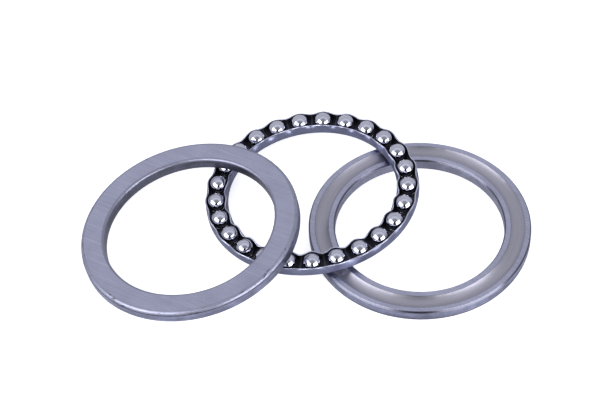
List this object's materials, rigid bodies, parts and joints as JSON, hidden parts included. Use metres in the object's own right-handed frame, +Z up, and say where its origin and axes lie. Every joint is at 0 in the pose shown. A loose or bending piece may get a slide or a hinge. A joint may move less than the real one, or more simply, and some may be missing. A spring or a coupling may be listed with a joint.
{
  "type": "thrust ball bearing",
  "caption": "Single-direction thrust ball bearing laid out in three loose units: grooved shaft washer, ball-and-cage ring, and flat-backed housing washer.",
  "frame": {"origin": "centre of the shaft washer's back face, on the surface that the bearing lies on", "axes": "+Z up along the shaft washer's axis; +X is opposite to the side on which the housing washer lies"},
  "size_m": [0.2129, 0.1273, 0.0212],
  "materials": {
    "washer_steel": "ground hardened steel, fine straight grinding lines on the flat faces, polished rounded edges and groove",
    "cage_steel": "pressed sheet steel, satin outside, dark inside the channel",
    "ball_steel": "mirror-polished hardened steel"
  },
  "bodies": {
    "housing_washer": {"housing_washer": "washer_steel"},
    "shaft_washer": {"shaft_washer": "washer_steel"},
    "cage": {"cage": "cage_steel"},
    "ball_01": {"ball_01": "ball_steel"},
    "ball_02": {"ball_02": "ball_steel"},
    "ball_03": {"ball_03": "ball_steel"},
    "ball_04": {"ball_04": "ball_steel"},
    "ball_05": {"ball_05": "ball_steel"},
    "ball_06": {"ball_06": "ball_steel"},
    "ball_07": {"ball_07": "ball_steel"},
    "ball_08": {"ball_08": "ball_steel"},
    "ball_09": {"ball_09": "ball_steel"},
    "ball_10": {"ball_10": "ball_steel"},
    "ball_11": {"ball_11": "ball_steel"},
    "ball_12": {"ball_12": "ball_steel"},
    "ball_13": {"ball_13": "ball_steel"},
    "ball_14": {"ball_14": "ball_steel"},
    "ball_15": {"ball_15": "ball_steel"},
    "ball_16": {"ball_16": "ball_steel"},
    "ball_17": {"ball_17": "ball_steel"},
    "ball_18": {"ball_18": "ball_steel"},
    "ball_19": {"ball_19": "ball_steel"},
    "ball_20": {"ball_20": "ball_steel"},
    "ball_21": {"ball_21": "ball_steel"},
    "ball_22": {"ball_22": "ball_steel"},
    "ball_23": {"ball_23": "ball_steel"},
    "ball_24": {"ball_24": "ball_steel"},
    "ball_25": {"ball_25": "ball_steel"}
  },
  "joints": [
    {"name": "shaft_washer_spin", "type": "hinge", "parent": "housing_washer", "child": "shaft_washer", "pos_m": [0, 0, 0.00322], "axis": [0, 0, 1], "continuous": true},
    {"name": "cage_spin", "type": "hinge", "parent": "housing_washer", "child": "cage", "pos_m": [-0.0498, 0.0232, 0.0088], "axis": [-0.0869, 0.0405, 0.9954], "continuous": true},
    {"name": "ball_01_roll", "type": "hinge", "parent": "cage", "child": "ball_01", "pos_m": [-0.08393, 0.05412, 0.00456], "axis": [-0.738, 0.6686, -0.0916], "continuous": true},
    {"name": "ball_02_roll", "type": "hinge", "parent": "cage", "child": "ball_02", "pos_m": [-0.07516, 0.06169, 0.00502], "axis": [-0.5484, 0.8322, -0.0817], "continuous": true},
    {"name": "ball_03_roll", "type": "hinge", "parent": "cage", "child": "ball_03", "pos_m": [-0.0648, 0.06684, 0.00571], "axis": [-0.3243, 0.9436, -0.0667], "continuous": true},
    {"name": "ball_04_roll", "type": "hinge", "parent": "cage", "child": "ball_04", "pos_m": [-0.05349, 0.06925, 0.0066], "axis": [-0.0799, 0.9957, -0.0475], "continuous": true},
    {"name": "ball_05_roll", "type": "hinge", "parent": "cage", "child": "ball_05", "pos_m": [-0.04196, 0.06877, 0.00763], "axis": [0.1696, 0.9852, -0.0253], "continuous": true},
    {"name": "ball_06_roll", "type": "hinge", "parent": "cage", "child": "ball_06", "pos_m": [-0.03091, 0.06542, 0.00873], "axis": [0.4084, 0.9128, -0.0015], "continuous": true},
    {"name": "ball_07_roll", "type": "hinge", "parent": "cage", "child": "ball_07", "pos_m": [-0.02105, 0.05942, 0.00983], "axis": [0.6215, 0.7831, 0.0224], "continuous": true},
    {"name": "ball_08_roll", "type": "hinge", "parent": "cage", "child": "ball_08", "pos_m": [-0.013, 0.05114, 0.01087], "axis": [0.7956, 0.6041, 0.0448], "continuous": true},
    {"name": "ball_09_roll", "type": "hinge", "parent": "cage", "child": "ball_09", "pos_m": [-0.00726, 0.04111, 0.01178], "axis": [0.9197, 0.3872, 0.0645], "continuous": true},
    {"name": "ball_10_roll", "type": "hinge", "parent": "cage", "child": "ball_10", "pos_m": [-0.0042, 0.02995, 0.0125], "axis": [0.986, 0.146, 0.0801], "continuous": true},
    {"name": "ball_11_roll", "type": "hinge", "parent": "cage", "child": "ball_11", "pos_m": [-0.00399, 0.01837, 0.01299], "axis": [0.9904, -0.1044, 0.0907], "continuous": true},
    {"name": "ball_12_roll", "type": "hinge", "parent": "cage", "child": "ball_12", "pos_m": [-0.00667, 0.00709, 0.01322], "axis": [0.9325, -0.3483, 0.0956], "continuous": true},
    {"name": "ball_13_roll", "type": "hinge", "parent": "cage", "child": "ball_13", "pos_m": [-0.01206, -0.00317, 0.01317], "axis": [0.816, -0.5702, 0.0944], "continuous": true},
    {"name": "ball_14_roll", "type": "hinge", "parent": "cage", "child": "ball_14", "pos_m": [-0.01982, -0.01178, 0.01284], "axis": [0.6483, -0.7564, 0.0874], "continuous": true},
    {"name": "ball_15_roll", "type": "hinge", "parent": "cage", "child": "ball_15", "pos_m": [-0.02946, -0.01819, 0.01226], "axis": [0.4398, -0.895, 0.0748], "continuous": true},
    {"name": "ball_16_roll", "type": "hinge", "parent": "cage", "child": "ball_16", "pos_m": [-0.04038, -0.022, 0.01146], "axis": [0.2037, -0.9773, 0.0575], "continuous": true},
    {"name": "ball_17_roll", "type": "hinge", "parent": "cage", "child": "ball_17", "pos_m": [-0.05189, -0.02297, 0.01049], "axis": [-0.0452, -0.9983, 0.0367], "continuous": true},
    {"name": "ball_18_roll", "type": "hinge", "parent": "cage", "child": "ball_18", "pos_m": [-0.06327, -0.02104, 0.00942], "axis": [-0.2913, -0.9565, 0.0135], "continuous": true},
    {"name": "ball_19_roll", "type": "hinge", "parent": "cage", "child": "ball_19", "pos_m": [-0.07381, -0.01633, 0.00831], "axis": [-0.5191, -0.8547, -0.0105], "continuous": true},
    {"name": "ball_20_roll", "type": "hinge", "parent": "cage", "child": "ball_20", "pos_m": [-0.08283, -0.00913, 0.00723], "axis": [-0.7142, -0.6991, -0.0339], "continuous": true},
    {"name": "ball_21_roll", "type": "hinge", "parent": "cage", "child": "ball_21", "pos_m": [-0.08978, 0.00009, 0.00625], "axis": [-0.8645, -0.4996, -0.0551], "continuous": true},
    {"name": "ball_22_roll", "type": "hinge", "parent": "cage", "child": "ball_22", "pos_m": [-0.09422, 0.01077, 0.00543], "axis": [-0.9605, -0.2687, -0.0729], "continuous": true},
    {"name": "ball_23_roll", "type": "hinge", "parent": "cage", "child": "ball_23", "pos_m": [-0.09587, 0.02223, 0.00482], "axis": [-0.9961, -0.0209, -0.0861], "continuous": true},
    {"name": "ball_24_roll", "type": "hinge", "parent": "cage", "child": "ball_24", "pos_m": [-0.09462, 0.03375, 0.00446], "axis": [-0.9691, 0.2281, -0.0939], "continuous": true},
    {"name": "ball_25_roll", "type": "hinge", "parent": "cage", "child": "ball_25", "pos_m": [-0.09056, 0.04461, 0.00437], "axis": [-0.8812, 0.4629, -0.0957], "continuous": true}
  ],
  "couplings": [
    {"joint": "cage_spin", "follows": "shaft_washer_spin", "ratio": 0.5},
    {"joint": "ball_01_roll", "follows": "shaft_washer_spin", "ratio": 5.2972},
    {"joint": "ball_02_roll", "follows": "shaft_washer_spin", "ratio": 5.2972},
    {"joint": "ball_03_roll", "follows": "shaft_washer_spin", "ratio": 5.2972},
    {"joint": "ball_04_roll", "follows": "shaft_washer_spin", "ratio": 5.2972},
    {"joint": "ball_05_roll", "follows": "shaft_washer_spin", "ratio": 5.2972},
    {"joint": "ball_06_roll", "follows": "shaft_washer_spin", "ratio": 5.2972},
    {"joint": "ball_07_roll", "follows": "shaft_washer_spin", "ratio": 5.2972},
    {"joint": "ball_08_roll", "follows": "shaft_washer_spin", "ratio": 5.2972},
    {"joint": "ball_09_roll", "follows": "shaft_washer_spin", "ratio": 5.2972},
    {"joint": "ball_10_roll", "follows": "shaft_washer_spin", "ratio": 5.2972},
    {"joint": "ball_11_roll", "follows": "shaft_washer_spin", "ratio": 5.2972},
    {"joint": "ball_12_roll", "follows": "shaft_washer_spin", "ratio": 5.2972},
    {"joint": "ball_13_roll", "follows": "shaft_washer_spin", "ratio": 5.2972},
    {"joint": "ball_14_roll", "follows": "shaft_washer_spin", "ratio": 5.2972},
    {"joint": "ball_15_roll", "follows": "shaft_washer_spin", "ratio": 5.2972},
    {"joint": "ball_16_roll", "follows": "shaft_washer_spin", "ratio": 5.2972},
    {"joint": "ball_17_roll", "follows": "shaft_washer_spin", "ratio": 5.2972},
    {"joint": "ball_18_roll", "follows": "shaft_washer_spin", "ratio": 5.2972},
    {"joint": "ball_19_roll", "follows": "shaft_washer_spin", "ratio": 5.2972},
    {"joint": "ball_20_roll", "follows": "shaft_washer_spin", "ratio": 5.2972},
    {"joint": "ball_21_roll", "follows": "shaft_washer_spin", "ratio": 5.2972},
    {"joint": "ball_22_roll", "follows": "shaft_washer_spin", "ratio": 5.2972},
    {"joint": "ball_23_roll", "follows": "shaft_washer_spin", "ratio": 5.2972},
    {"joint": "ball_24_roll", "follows": "shaft_washer_spin", "ratio": 5.2972},
    {"joint": "ball_25_roll", "follows": "shaft_washer_spin", "ratio": 5.2972}
  ]
}
